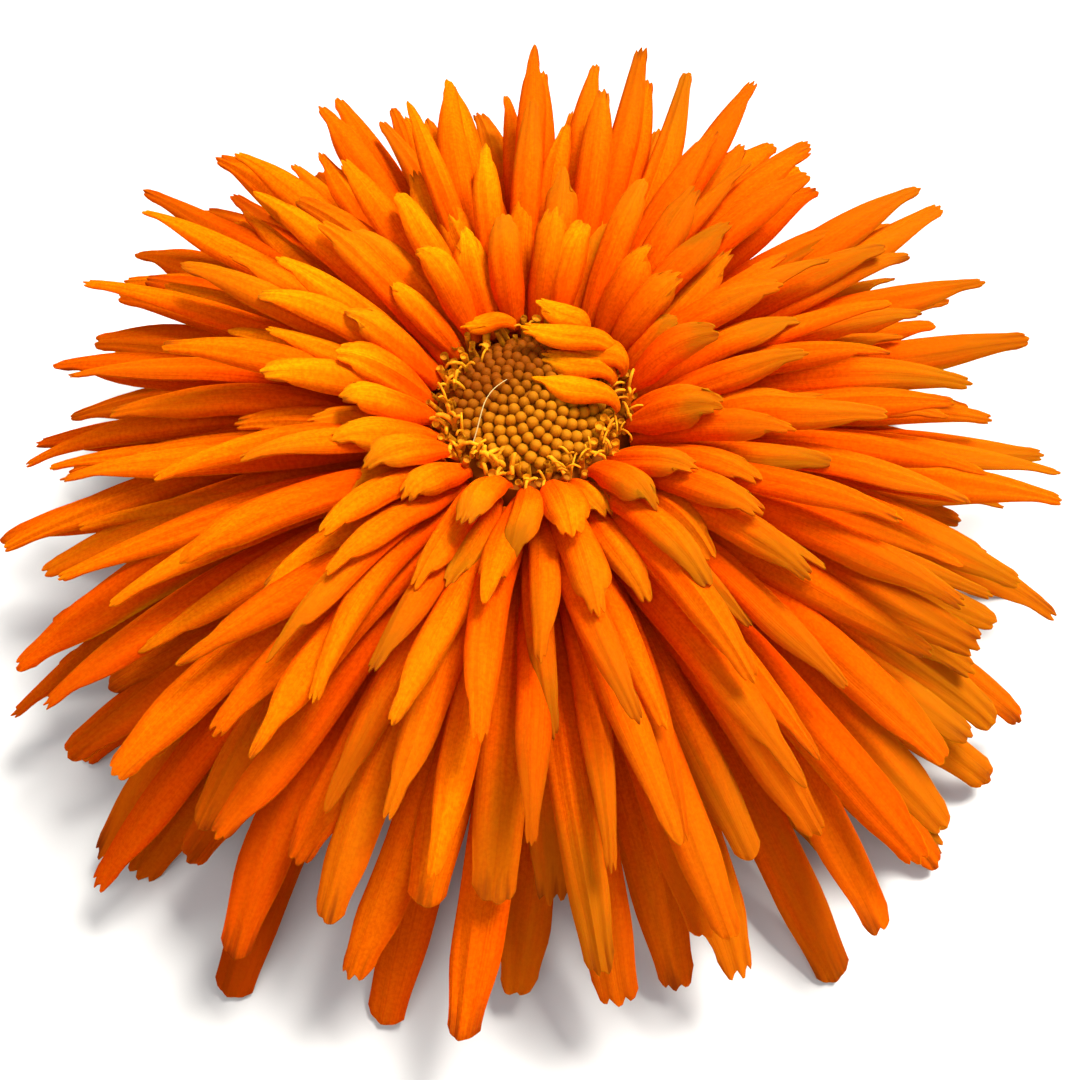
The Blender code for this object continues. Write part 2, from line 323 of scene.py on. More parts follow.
def notchOf(teeth, across, uneven):
    shifted = across + uneven * (1.0 - across * across)
    if teeth == 3:
        return (0.5 - 0.5 * math.cos(3.0 * math.pi * shifted)) ** 2 * (1.0 + 2.0 * uneven * across)
    if teeth == 2:
        return (0.5 + 0.5 * math.cos(2.0 * math.pi * shifted)) ** 3
    return 0.0


def pointAlong(alongs, points, along):
    along = min(max(along, 0.0), 1.0)
    for index in range(len(alongs) - 1):
        if along <= alongs[index + 1]:
            share = (along - alongs[index]) / (alongs[index + 1] - alongs[index])
            return [mixed(a, b, share) for a, b in zip(points[index], points[index + 1])]
    return list(points[-1])


def petalPoint(petal, look, alongs, points, across, along):
    # the tip is rounded and cut into teeth by drawing its points back along the petal
    back = petal["tipRound"] * across * across * zoneShare("rounding", along)
    notch = notchOf(petal["teeth"], across, petal["uneven"])
    back += petal["toothDepth"] * notch * zoneShare("teeth", along)
    place = along - back / petal["length"]
    reach, climb, angle = pointAlong(alongs, points, place)

    claw = 0.5 * look["clawWidth"]
    half = claw + (petal["halfWidth"] - claw) * eased(along / petal["widest"])
    half *= petal["tipShare"] + (1.0 - petal["tipShare"]) * eased((1.0 - along) / petal["taper"])
    half *= 1.0 + petal["ripple"] * math.sin(9.0 * along + 5.0 * petal["phase"] + 1.5 * across)
    curl = mixed(look["footCurl"], petal["curl"], zoneShare("opening", along))
    curl = mixed(curl, look["tipCurl"], zoneShare("flattening", along))
    skewed = across + petal["skew"] * (1.0 - across * across)
    sideways = half * math.sin(curl * skewed) / math.sin(curl)
    drop = half * (1.0 - math.cos(curl * skewed)) / math.sin(curl) * petal["arch"]
    furrow = petal["furrow"] * half * (0.5 - 0.5 * math.cos(look["furrows"] * math.pi * across))
    drop += furrow * (1.0 - across ** 4) * zoneShare("furrow", along) * petal["arch"]

    roll = petal["roll"] * zoneShare("roll", along) + petal["twist"] * along * along
    level = Vector((math.cos(petal["turn"]), math.sin(petal["turn"]), 0.0))
    side = Vector((-math.sin(petal["turn"]), math.cos(petal["turn"]), 0.0))
    upward = Vector((0.0, 0.0, math.cos(angle))) - level * math.sin(angle)
    foot = Vector((math.cos(petal["footTurn"]), math.sin(petal["footTurn"]), 0.0)) * petal["radius"]
    foot.z = petal["height"]
    spine = foot + level * reach + Vector((0.0, 0.0, climb))
    spine += side * (petal["sway"] * place * place + petal["bow"] * math.sin(math.pi * place))
    spine += side * (sideways * math.cos(roll) + drop * math.sin(roll))
    spine += upward * (sideways * math.sin(roll) - drop * math.cos(roll))
    return spine


def finishPiece(name, bm, material, nodes, sharpAngle=55.0):
    bmesh.ops.recalc_face_normals(bm, faces=bm.faces)
    for face in bm.faces:
        face.smooth = True
    mesh = bpy.data.meshes.new(name)
    bm.to_mesh(mesh)
    bm.free()
    mesh.set_sharp_from_angle(angle=math.radians(sharpAngle))
    mesh.materials.append(material)
    piece = bpy.data.objects.new(name, mesh)
    bpy.context.scene.collection.objects.link(piece)
    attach(piece, "root")
    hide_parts(*nodes)
    return piece


def petalPiece(name, petal, look, material, nodes):
    bm = bmesh.new()
    placeLayer = bm.verts.layers.float_vector.new("petalPlace")
    moodLayer = bm.verts.layers.float_vector.new("petalMood")
    paintedShadeLayer = bm.verts.layers.float.new("petalPaintedShade")
    bmesh.ops.create_grid(bm, x_segments=look["columns"], y_segments=look["rows"], size=1.0)
    alongs, points = spineOf(petal, look)
    for vert in bm.verts:
        across = vert.co.x
        along = alongs[round((vert.co.y + 1.0) / 2.0 * look["rows"])]
        vert[placeLayer] = (across, along, petal["tone"])
        vert[moodLayer] = petal["mood"]
        vert[paintedShadeLayer] = petal["paintedOuterShade"]
        vert.co = axisPoint + petalPoint(petal, look, alongs, points, across, along) * mm
    bmesh.ops.solidify(bm, geom=list(bm.faces), thickness=look["thickness"] * mm)
    return finishPiece(name, bm, material, nodes)


rayLook = {
    "columns": 12, "rows": 22, "thickness": 0.16, "clawWidth": 1.3, "footCurl": 1.1, "tipCurl": 0.55,
    "furrows": 3.0, "bendBy": 1.0, "hoodFrom": 0.6,
}
petalHabit = {
    "curl": (1.0, 1.45), "wave": 4.5, "waves": (0.7, 1.4), "twist": 20.0, "furrow": (0.08, 0.2),
    "toothDepth": (0.2, 0.7), "tipRound": (0.4, 1.3), "tipShare": ((0.42, 0.68), (0.25, 0.5)),
    "taper": ((0.24, 0.45), (0.24, 0.5)), "plainRound": 1.2, "bow": 0.035, "ripple": (0.01, 0.05),
    "skew": 0.16, "uneven": 0.28, "widest": (0.3, 0.5), "brownShare": 0.5, "brown": (0.25, 0.9),
}
whorls = {
    "skirt": {
        "groups": 8, "start": -90, "radius": 7.4, "height": 13.4, "length": 30.8,
        "foot": -10, "tip": -42, "spacing": 15.0, "pitch": 1.1, "width": 0.98, "lean": 0.0, "hood": 0,
    },
    "low": {
        "groups": 9, "start": -81, "radius": 7.6, "height": 14.3, "length": 31.3,
        "foot": 4, "tip": -32, "spacing": 13.3, "pitch": 1.1, "width": 0.92, "lean": 0.5, "hood": 0,
    },
    "level": {
        "groups": 9, "start": -97, "radius": 7.75, "height": 15.1, "length": 28.8,
        "foot": 17, "tip": -24, "spacing": 13.3, "pitch": 1.2, "width": 0.82, "lean": 1.0, "hood": 0,
    },
    "raised": {
        "groups": 8, "start": -76, "radius": 7.7, "height": 15.9, "length": 24.2,
        "foot": 29, "tip": -12, "spacing": 15.0, "pitch": 1.5, "width": 0.74, "lean": 1.0, "hood": 6,
    },
    "upper": {
        "groups": 7, "start": -96, "radius": 7.2, "height": 16.9, "length": 18.6,
        "foot": 41, "tip": -4, "spacing": 17.1, "pitch": 1.8, "width": 0.68, "lean": 1.0, "hood": 10,
    },
    "short": {
        "groups": 6, "start": -78, "radius": 6.8, "height": 17.5, "length": 13.6,
        "foot": 53, "tip": 4, "spacing": 20.0, "pitch": 2.1, "width": 0.72, "lean": 1.0, "hood": 18,
    },
    "inner": {
        "groups": 4, "start": 10, "radius": 6.3, "height": 18.3, "length": 9.0,
        "foot": 68, "tip": 14, "spacing": 27.0, "pitch": 2.8, "width": 0.8, "lean": 1.0, "hood": 44,
    },
}
# each group has its own three petals, others between them that lie lower, and late ones lower still
members = {
    "own": {
        "seed": 42, "sides": (-1, 0, 1), "low": 0.0, "turn": 0.1, "length": (0.86, 1.06),
        "foot": (-1.5, 1.5), "tip": (-5.0, 5.0), "width": (0.85, 1.08), "roll": 12.0, "sway": 0.045,
    },
    "between": {
        "seed": 9000, "sides": (0.5, -0.5, 1.5), "low": 1.0, "turn": 0.2, "length": (0.66, 1.08),
        "foot": (-4.0, 3.0), "tip": (-9.0, 8.0), "width": (0.82, 1.08), "roll": 18.0, "sway": 0.08,
    },
    "late": {
        "seed": 5000, "sides": (-0.75, 0.25), "low": 1.8, "turn": 0.2, "length": (0.8, 1.05),
        "foot": (-4.0, 3.0), "tip": (-8.0, 8.0), "width": (0.75, 0.95), "roll": 18.0, "sway": 0.08,
    },
}
between = {
    "drop": 0.45, "flatter": 5.0, "outerWhorls": 4, "outerLength": (0.84, 1.08), "skipFront": 30.0,
    "lateSkipFront": 50.0,
}
hanging = {"whorls": 2, "frontStretch": 0.1, "frontHalfAngle": 60.0, "clearance": 0.35}
frontHabit = {
    "whorls": 3, "width": 1.12, "outerWidth": 1.08, "curl": (1.1, 1.45), "tipShare": (0.62, 0.86),
    "taper": (0.14, 0.24), "tipRound": 0.75,
}


def habitOf(petal, dice, compass, outerness):
    habit = petalHabit
    for key in ("curl", "waves", "furrow", "widest"):
        petal[key] = dice.uniform(*habit[key])
    for key in ("tipShare", "taper"):  # inner petals end broad, outer ones are drawn out
        petal[key] = mixed(dice.uniform(*habit[key][0]), dice.uniform(*habit[key][1]), eased(outerness * 1.3))
    petal["wave"] = math.radians(dice.uniform(-habit["wave"], habit["wave"]))
    petal["phase"] = dice.random()
    petal["twist"] = math.radians(dice.uniform(-habit["twist"], habit["twist"]))
    petal["bow"] = dice.uniform(-habit["bow"], habit["bow"]) * petal["length"]
    petal["ripple"] = dice.uniform(*habit["ripple"])
    petal["skew"] = dice.uniform(-habit["skew"], habit["skew"])
    petal["teeth"] = dice.choice((3, 3, 3, 2, 2, 0))
    petal["toothDepth"] = 0.0 if petal["teeth"] == 0 else dice.uniform(*habit["toothDepth"])
    petal["tipRound"] = dice.uniform(*habit["tipRound"])
    if petal["teeth"] == 0:
        petal["tipRound"] += habit["plainRound"]
    petal["uneven"] = dice.uniform(-habit["uneven"], habit["uneven"])
    petal["tone"] = mixed(dice.random(), 1.0 - outerness, 0.35)
    east = 0.5 + 0.5 * math.cos(compass + 0.2)
    olive = min(max(dice.uniform(-0.45, 0.6) + 0.8 * east, 0.0), 1.0)
    # the reddening is partly outer-petal and random colour and partly a painted glow on the east side
    redAndPaintedGlow = min(max(outerness * 0.4 + 0.75 * east + dice.uniform(-0.2, 0.2) - 0.25, 0.0), 1.0)
    brown = habit["brown"][1] if dice.random() < habit["brownShare"] else habit["brown"][0]
    petal["mood"] = (olive, redAndPaintedGlow, brown)
    # painted shade: the outer petals are darkened, most of all on the west side
    petal["paintedOuterShade"] = min(max(outerness * (1.22 - 1.02 * east) + dice.uniform(-0.25, 0.2), 0.0), 1.0)
    return petal


def keepOffFloor(petal, look):
    floorHeight = (cadBox[0][2] - axisPoint.z) / mm + hanging["clearance"]
    while min(point[1] for point in spineOf(petal, look)[1]) + petal["height"] < floorHeight:
        petal["tipAngle"] += math.radians(1.5)


def groupMembers(number, whorl, throws):
    found = []
    for kind, member in members.items():
        if kind == "late" and number > between["outerWhorls"]:
            continue
        dice = throws[kind]
        lengths = member["length"]
        if kind == "between" and number <= between["outerWhorls"]:
            lengths = between["outerLength"]
        for side in member["sides"]:
            turn = side * whorl["spacing"] + dice.uniform(-member["turn"], member["turn"]) * whorl["spacing"]
            found.append({
                "side": side, "turn": turn, "low": member["low"], "length": dice.uniform(*lengths),
                "footAngle": dice.uniform(*member["foot"]), "tipAngle": dice.uniform(*member["tip"]),
                "width": dice.uniform(*member["width"]),
                "roll": dice.uniform(-member["roll"], member["roll"]),
                "sway": dice.uniform(-member["sway"], member["sway"]),
            })
    return found


def placedPetal(whorl, groupCompass, member, compass, dice):
    lean = math.radians(flower["lean"]) * whorl["lean"] * math.sin(compass)
    angleDown = between["flatter"] * member["low"]
    return {
        "radius": whorl["radius"], "height": whorl["height"] - between["drop"] * member["low"],
        "arch": 1.0, "length": whorl["length"] * member["length"],
        "footTurn": math.radians(groupCompass) + member["side"] * whorl["pitch"] / whorl["radius"],
        "turn": math.radians(groupCompass + member["turn"] * 1.1),
        "footAngle": math.radians(whorl["foot"] - angleDown + member["footAngle"]) + lean,
        "tipAngle": math.radians(whorl["tip"] - 0.5 * angleDown + member["tipAngle"]) + lean,
        "halfWidth": 0.5 * flower["petalWidth"] * whorl["width"] * member["width"],
        "roll": math.radians(member["roll"]), "sway": member["sway"] * whorl["length"],
        "hood": math.radians(whorl["hood"]) * dice.uniform(0.3, 1.3),
    }


def whorlPetals(number, name, whorl):
    outerness = 1.0 - (number - 1) / (len(whorls) - 1)
    for group in range(whorl["groups"]):
        place = 100 * number + group
        throws = {kind: random.Random(member["seed"] + place) for kind, member in members.items()}
        extra = throws["between"]
        groupCompass = whorl["start"] + 360.0 * group / whorl["groups"]
        for index, member in enumerate(groupMembers(number, whorl, throws)):
            compass = math.radians(groupCompass + member["turn"])
            petal = placedPetal(whorl, groupCompass, member, compass, extra)
            fromFront = abs((groupCompass + member["turn"] + 90.0 + 180.0) % 360.0 - 180.0)
            if number <= hanging["whorls"]:  # the front of the lowest whorls hangs longest
                stretch = eased(1.5 - fromFront / hanging["frontHalfAngle"])
                petal["length"] *= 1.0 + hanging["frontStretch"] * stretch
            habitOf(petal, extra, compass, outerness)
            if number <= frontHabit["whorls"]:  # broad and blunt at the front, narrower elsewhere
                nearFront = eased(1.6 - fromFront / hanging["frontHalfAngle"])
                petal["halfWidth"] *= mixed(frontHabit["outerWidth"], frontHabit["width"], nearFront)
                for key in ("curl", "tipShare", "taper"):
                    petal[key] = mixed(petal[key], extra.uniform(*frontHabit[key]), nearFront)
                petal["tipRound"] = mixed(petal["tipRound"], frontHabit["tipRound"], nearFront)
            if member["low"] and number <= hanging["whorls"] and fromFront < between["skipFront"]:
                continue
            if member["low"] > 1.0 and fromFront < between["lateSkipFront"]:
                continue
            keepOffFloor(petal, rayLook)
            petalPiece(f"{name}_petal_{group + 1}_{index + 1}", petal, rayLook, rayMaterial,
                       [f"{name}_petals_{group + 1}"])


for number, (name, whorl) in enumerate(whorls.items(), start=1):
    whorlPetals(number, name, whorl)
print("ray petals ready")

# Short petals at the disc's far right edge, folded back over the buds.
foldLook = dict(rayLook, footCurl=0.9, tipCurl=0.7, bendBy=0.45, clawWidth=0.9, rows=18)
foldHabit = {"seed": 500, "roll": 10, "twist": 24, "toothDepth": 0.85, "toothedTip": 0.55, "plainTip": 0.2}
folds = (
    {"node": 1, "compass": -11, "radius": 5.9, "rise": 19.2, "run": 163,
     "length": 7.0, "foot": 102, "tip": 188, "width": 2.3, "teeth": 0},
    {"node": 2, "compass": 7, "radius": 5.7, "rise": 19.4, "run": 157,
     "length": 6.6, "foot": 96, "tip": 196, "width": 2.2, "teeth": 3},
    {"node": 3, "compass": 24, "radius": 6.2, "rise": 19.6, "run": 163,
     "length": 8.2, "foot": 86, "tip": 190, "width": 2.2, "teeth": 3},
    {"node": 2, "compass": 12, "radius": 6.4, "rise": 19.7, "run": 149,
     "length": 6.6, "foot": 78, "tip": 202, "width": 2.6, "teeth": 2},
    {"node": 4, "compass": 50, "radius": 6.0, "rise": 19.7, "run": 148,
     "length": 5.2, "foot": 80, "tip": 186, "width": 2.2, "teeth": 2},
    {"node": 4, "compass": 100, "radius": 5.9, "rise": 19.5, "run": 184,
     "length": 4.2, "foot": 130, "tip": 192, "width": 1.6, "teeth": 3},
)
for index, fold in enumerate(folds):
    dice = random.Random(foldHabit["seed"] + index)
    compass = math.radians(fold["compass"])
    petal = {
        "radius": fold["radius"], "height": fold["rise"], "arch": -1.0, "footTurn": compass,
        "turn": math.radians(fold["run"] - 180.0), "length": fold["length"], "hood": 0.0, "sway": 0.0,
        "footAngle": math.radians(fold["foot"]), "tipAngle": math.radians(fold["tip"]),
        "halfWidth": 0.5 * fold["width"],
        "roll": math.radians(dice.uniform(-foldHabit["roll"], foldHabit["roll"])),
    }
    habitOf(petal, dice, compass, 0.0)
    petal.update(curl=0.95, furrow=0.14, teeth=fold["teeth"], widest=0.6, taper=0.4, tipRound=0.6,
                 toothDepth=foldHabit["toothDepth"] if fold["teeth"] else 0.0,
                 tipShare=foldHabit["toothedTip" if fold["teeth"] else "plainTip"],
                 twist=math.radians(dice.uniform(-foldHabit["twist"], foldHabit["twist"])),
                 wave=0.0, skew=0.0, bow=0.0)
    petal["mood"] = (0.15, 0.0, 0.3)
    petalPiece(f"folded_petal_piece_{index + 1}", petal, foldLook, foldMaterial,
               [f"folded_petal_{fold['node']}"])
print("folded petals ready")


# ---- disc ----
disc = {
    "radius": 5.3, "rise": 1.7, "cushionDepth": 0.15, "cushionPaintedShade": 0.3, "seed": 31, "buds": 168,
    "budRadius": 0.43, "budHeight": 1.25, "lobes": 5.0, "lobeDepth": 0.13, "spread": 0.4,
}


def domeHeight(radius):
    return flower["discBase"] + disc["rise"] * (1.0 - (radius / disc["radius"]) ** 2)


def settle(bm):
    bmesh.ops.scale(bm, vec=(mm, mm, mm), verts=bm.verts)
    bmesh.ops.translate(bm, vec=axisPoint, verts=bm.verts)


def discCushion():
    bm = bmesh.new()
    layer = bm.verts.layers.float.new("budPaintedLight")
    steps = 10
    profile = [bm.verts.new((0.0, 0.0, domeHeight(0.0)))]
    for step in range(1, steps + 1):
        radius = disc["radius"] * step / steps
        profile.append(bm.verts.new((radius, 0.0, domeHeight(radius) - disc["cushionDepth"])))
    profile.append(bm.verts.new((0.0, 0.0, flower["discBase"] - 0.2)))
    edges = [bm.edges.new(pair) for pair in zip(profile, profile[1:])]
    bmesh.ops.spin(bm, geom=profile + edges, cent=(0, 0, 0), axis=(0, 0, 1), steps=48, angle=2 * math.pi,
                   use_merge=True)
    bmesh.ops.remove_doubles(bm, verts=bm.verts, dist=0.01)
    # painted shade: the cushion between the buds takes a dark value on the buds' light scale
    for vert in bm.verts:
        vert[layer] = disc["cushionPaintedShade"]
    settle(bm)
    return finishPiece("disc_cushion", bm, budMaterial, ["disc_of_buds"])


def discBuds():
    bm = bmesh.new()
    layer = bm.verts.layers.float.new("budPaintedLight")
    dice = random.Random(disc["seed"])
    golden = math.pi * (3.0 - math.sqrt(5.0))
    for index in range(disc["buds"]):
        radius = disc["spread"] * math.sqrt(index + 0.6)
        angle = golden * index
        size = disc["budRadius"] * mixed(0.94, 1.06, radius / disc["radius"]) * dice.uniform(0.94, 1.05)
        normal = Vector((2.0 * disc["rise"] * radius / disc["radius"] ** 2, 0.0, 1.0)).normalized()
        normal = Matrix.Rotation(angle, 3, "Z") @ normal
        turn = normal.to_track_quat("Z", "Y").to_matrix().to_4x4()
        centre = Vector((radius * math.cos(angle), radius * math.sin(angle), domeHeight(radius) + 0.05))
        centre.z += dice.uniform(-0.06, 0.06)
        # buds toward the back and left of the disc are darker
        backLeftDarkening = eased((centre.y - centre.x * 0.4 + 2.4) / 5.0)
        made = bmesh.ops.create_uvsphere(bm, u_segments=10, v_segments=7, radius=size)["verts"]
        for vert in made:
            # painted highlight and shade: each bud is lighter on top and darker toward its foot
            top = 0.3 + 0.7 * eased(vert.co.z / size + 0.1) * dice.uniform(0.93, 1.0)
            vert[layer] = top * mixed(1.0, 0.0, backLeftDarkening)
            lobe = disc["lobeDepth"] * math.cos(disc["lobes"] * math.atan2(vert.co.y, vert.co.x))
            lobe *= eased(vert.co.z / size + 0.6)
            vert.co.x *= 1.0 + lobe
            vert.co.y *= 1.0 + lobe
        bmesh.ops.scale(bm, vec=(1.0, 1.0, disc["budHeight"]), verts=made)
        bmesh.ops.transform(bm, matrix=Matrix.Translation(centre) @ turn, verts=made)
    settle(bm)
    return finishPiece("disc_buds", bm, budMaterial, ["disc_of_buds"], 80.0)


discCushion()
discBuds()
print("disc ready")


# ---- opened florets and their styles ----
def tubeAlong(bm, path, radii, sides=6):
    turns = []
    for index in range(len(path)):
        ahead = path[min(index + 1, len(path) - 1)] - path[max(index - 1, 0)]
        turns.append(ahead.to_track_quat("Z", "Y").to_matrix().to_4x4())
    verts = bmesh.ops.create_circle(bm, segments=sides, radius=radii[0], cap_ends=True)["verts"]
    ring = list({edge for vert in verts for edge in vert.link_edges})
    bmesh.ops.transform(bm, matrix=Matrix.Translation(path[0]) @ turns[0], verts=verts)
    for index in range(1, len(path)):
        made = bmesh.ops.extrude_edge_only(bm, edges=ring)["geom"]
        verts = [item for item in made if isinstance(item, bmesh.types.BMVert)]
        ring = [item for item in made if isinstance(item, bmesh.types.BMEdge)]
        ring = [edge for edge in ring if all(vert in verts for vert in edge.verts)]
        taper = Matrix.Scale(radii[index] / radii[index - 1], 4)
        step = Matrix.Translation(path[index]) @ turns[index] @ taper
        step = step @ turns[index - 1].inverted() @ Matrix.Translation(-path[index - 1])
        bmesh.ops.transform(bm, matrix=step, verts=verts)
    bmesh.ops.edgeloop_fill(bm, edges=ring)


openFlorets = {
    "seed": 77, "count": 96, "radius": (5.2, 6.9), "tall": (0.8, 1.9), "foot": 0.2, "mouth": (0.18, 0.34),
    "lobes": 0.5, "wall": 0.06, "throat": 0.22, "base": 17.6,
}
styles = {
    "seed": 123, "count": 92, "radius": (4.9, 6.6), "thickness": (0.08, 0.16), "height": (0.2, 1.1),
    "size": (0.25, 0.75), "root": 18.3, "branches": 2, "bend": (1.2, 4.4), "elsewhere": 0.18,
    "crowds": ((232.0, 60.0, 1.5), (2.0, 65.0, 1.0)),
}


def openedFlorets():
    bm = bmesh.new()
    dice = random.Random(openFlorets["seed"])
    for index in range(openFlorets["count"]):
        angle = 2 * math.pi * index / openFlorets["count"] + dice.uniform(-0.06, 0.06)
        outward = Vector((math.cos(angle), math.sin(angle), 0.0))
        radius = mixed(*openFlorets["radius"], (0.1, 0.85, 0.5)[index % 3] + dice.uniform(-0.15, 0.15))
        tall = dice.uniform(*openFlorets["tall"])
        before = set(bm.verts)
        mouth = dice.uniform(*openFlorets["mouth"])
        made = bmesh.ops.create_cone(bm, cap_ends=True, segments=10, radius1=openFlorets["foot"],
                                     radius2=mouth, depth=tall)
        top = [vert for vert in made["verts"] if vert.co.z > 0]
        for vert in top:
            lobe = math.cos(5.0 * math.atan2(vert.co.y, vert.co.x))
            vert.co += Vector((vert.co.x * lobe, vert.co.y * lobe, 0.3 * lobe)) * openFlorets["lobes"]
        cap = [face for face in top[0].link_faces if all(vert in top for vert in face.verts)]
        bmesh.ops.inset_region(bm, faces=cap, thickness=openFlorets["wall"])
        bmesh.ops.translate(bm, vec=(0, 0, -openFlorets["throat"]), verts=cap[0].verts)
        whole = [vert for vert in bm.verts if vert not in before]
        lean = Matrix.Rotation(dice.uniform(-0.35, 0.6), 4, Vector((-outward.y, outward.x, 0.0)))
        lean = Matrix.Rotation(dice.uniform(-0.4, 0.4), 4, outward) @ lean
        centre = outward * radius + Vector((0, 0, openFlorets["base"] + tall / 2))
        bmesh.ops.transform(bm, matrix=Matrix.Translation(centre) @ lean, verts=whole)
    settle(bm)
    return finishPiece("opened_floret_tubes", bm, floretMaterial, ["opened_florets"])


def hookPath(root, way, height, bend, size, steps=10):
    path = []
    for step in range(steps):
        share = step / (steps - 1)
        turn = bend * eased((share - 0.15) / 0.85)
        path.append(root + Vector((0, 0, height * min(share * 1.5, 1.0) + size * math.sin(turn)))
                    + way * size * (1.0 - math.cos(turn)))
    return path


def crowdAt(angle):
    # the styles crowd around two places on the rim: each has a compass, a half width and a thickness
    shares = []
    for compass, halfWidth, thickness in styles["crowds"]:
        apart = abs((math.degrees(angle) - compass + 180.0) % 360.0 - 180.0)
        shares.append((eased(1.3 - apart / halfWidth), thickness))
    return max(shares)


def styleHooks():
    bm = bmesh.new()
    dice = random.Random(styles["seed"])
    for index in range(styles["count"]):
        angle = 2 * math.pi * (index + dice.uniform(-0.45, 0.45)) / styles["count"]
        outward = Vector((math.cos(angle), math.sin(angle), 0.0))
        root = outward * dice.uniform(*styles["radius"]) + Vector((0, 0, styles["root"]))
        height = dice.uniform(*styles["height"])
        crowded, thicker = crowdAt(angle)
        if dice.random() > styles["elsewhere"] + 0.72 * crowded:
            continue
        thickness = dice.uniform(*styles["thickness"]) * mixed(1.0, thicker, crowded)
        turn = dice.uniform(0, 2 * math.pi)
        for branch in range(styles["branches"]):
            heading = turn + branch * dice.uniform(1.6, 3.4)
            way = Vector((math.cos(heading), math.sin(heading), 0.0))
            path = hookPath(root, way, height, dice.uniform(*styles["bend"]), dice.uniform(*styles["size"]))
            last = len(path) - 1
            tubeAlong(bm, path, [thickness * mixed(1.0, 0.6, step / last) for step in range(len(path))])
    settle(bm)
    return finishPiece("style_hooks", bm, styleMaterial, ["opened_florets"], 80.0)


hair = {
    "across": (-3.9, -1.6), "back": (-3.6, 0.5), "bow": 0.75, "lift": 0.75, "arch": 0.6,
    "thickness": (0.05, 0.025),
}


def paleHair():
    bm = bmesh.new()
    path = []
    radii = []
    steps = 13
    for step in range(steps + 1):
        share = step / steps
        x = mixed(*hair["across"], share) - hair["bow"] * math.sin(3.1 * share) * share
        y = mixed(*hair["back"], share)
        lift = hair["lift"] + hair["arch"] * math.sin(math.pi * share)
        path.append(Vector((x, y, domeHeight(math.hypot(x, y)) + lift)))
        radii.append(mixed(*hair["thickness"], share))
    tubeAlong(bm, path, radii, 5)
    settle(bm)
    return finishPiece("pale_hair", bm, hairMaterial, ["disc_of_buds"], 80.0)


openedFlorets()
styleHooks()
paleHair()
print("opened florets ready")

# ---- underside ----
stem = {"ridges": 7, "ridgeDepth": 0.1, "ridgesOutside": 1.5, "ridgesBelow": 12.0}


def receptaclePiece():
    bm = bmesh.new()
    profile = (
        (0.0, 17.5), (4.0, 17.4), (6.3, 17.2), (6.9, 16.0), (6.9, 14.2), (6.6, 12.9),
        (6.1, 11.9), (5.2, 11.0), (4.0, 10.2), (2.9, 9.4), (2.3, 8.4), (2.05, 7.2),
        (2.0, 5.0), (2.0, 2.5), (2.0, 0.25), (1.85, 0.02), (0.0, 0.02),
    )
    verts = [bm.verts.new((radius * mm, 0.0, height * mm)) for radius, height in profile]
    edges = [bm.edges.new(pair) for pair in zip(verts, verts[1:])]
    bmesh.ops.spin(bm, geom=verts + edges, cent=(0, 0, 0), axis=(0, 0, 1), steps=56, angle=2 * math.pi,
                   use_merge=True)
    bmesh.ops.remove_doubles(bm, verts=bm.verts, dist=0.00001)
    for vert in bm.verts:
        radius = math.hypot(vert.co.x, vert.co.y)
        if radius > stem["ridgesOutside"] * mm and vert.co.z < stem["ridgesBelow"] * mm:
            ridge = stem["ridgeDepth"] * mm * math.cos(stem["ridges"] * math.atan2(vert.co.y, vert.co.x))
            vert.co.x *= 1.0 + ridge / radius
            vert.co.y *= 1.0 + ridge / radius
    bmesh.ops.translate(bm, vec=axisPoint, verts=bm.verts)
    return finishPiece("receptacle_with_stem", bm, stemMaterial, ["receptacle_and_cut_stem"])


receptaclePiece()
bractLook = dict(rayLook, footCurl=0.4, tipCurl=0.3, furrows=4.0, rows=14, columns=8, clawWidth=1.6,
                 thickness=0.3)
bracts = {
    "seed": 700, "groups": 2, "each": 8, "radius": 6.8, "height": 12.0, "spacing": 22.5, "pitch": 2.3,
    "length": 8.0, "width": 0.7, "foot": -24, "tip": -60,
}


def bractPiece(group, member):
    dice = random.Random(bracts["seed"] + 10 * group + member)
    side = member - (bracts["each"] - 1) / 2
    groupCompass = 360.0 * group / bracts["groups"]
    compass = math.radians(groupCompass + side * bracts["spacing"])
    petal = {
        "radius": bracts["radius"], "height": bracts["height"], "arch": -0.6,
        "footTurn": math.radians(groupCompass) + side * bracts["pitch"] / bracts["radius"],
        "turn": compass, "length": bracts["length"] * dice.uniform(0.9, 1.1),
        "footAngle": math.radians(bracts["foot"] + dice.uniform(-2, 2)),
        "tipAngle": math.radians(bracts["tip"] + dice.uniform(-6, 6)),
        "halfWidth": 0.5 * flower["petalWidth"] * bracts["width"],
        "roll": math.radians(dice.uniform(-8, 8)), "sway": 0.0, "hood": 0.0,
    }
    habitOf(petal, dice, compass, 0.0)
    petal.update(curl=0.5, teeth=0, toothDepth=0.0, tipRound=0.0, furrow=0.08, tipShare=0.12, taper=0.8,
                 widest=0.3)
    petalPiece(f"bract_{group + 1}_{member + 1}", petal, bractLook, bractMaterial, [f"bracts_{group + 1}"])


for group in range(bracts["groups"]):
    for member in range(bracts["each"]):
        bractPiece(group, member)
print("underside ready")

# ---- floor, light and camera ----
studio = {
    "floorColour": (0.66, 0.66, 0.66), "floorSize": 1.5, "ceiling": 0.36, "horizon": 0.74,
    "skyFade": (0.04, 0.34), "aim": (0, 0, 0.01),
    "key": 53.0, "keySize": 0.6, "keyPlace": (0.6, 0.48, 1.41), "keyColour": (1.0, 0.97, 0.9),
    "fill": 11.0, "fillSize": 1.2, "fillPlace": (-0.24, -0.84, 1.5), "fillColour": (1.0, 1.0, 1.0),
}


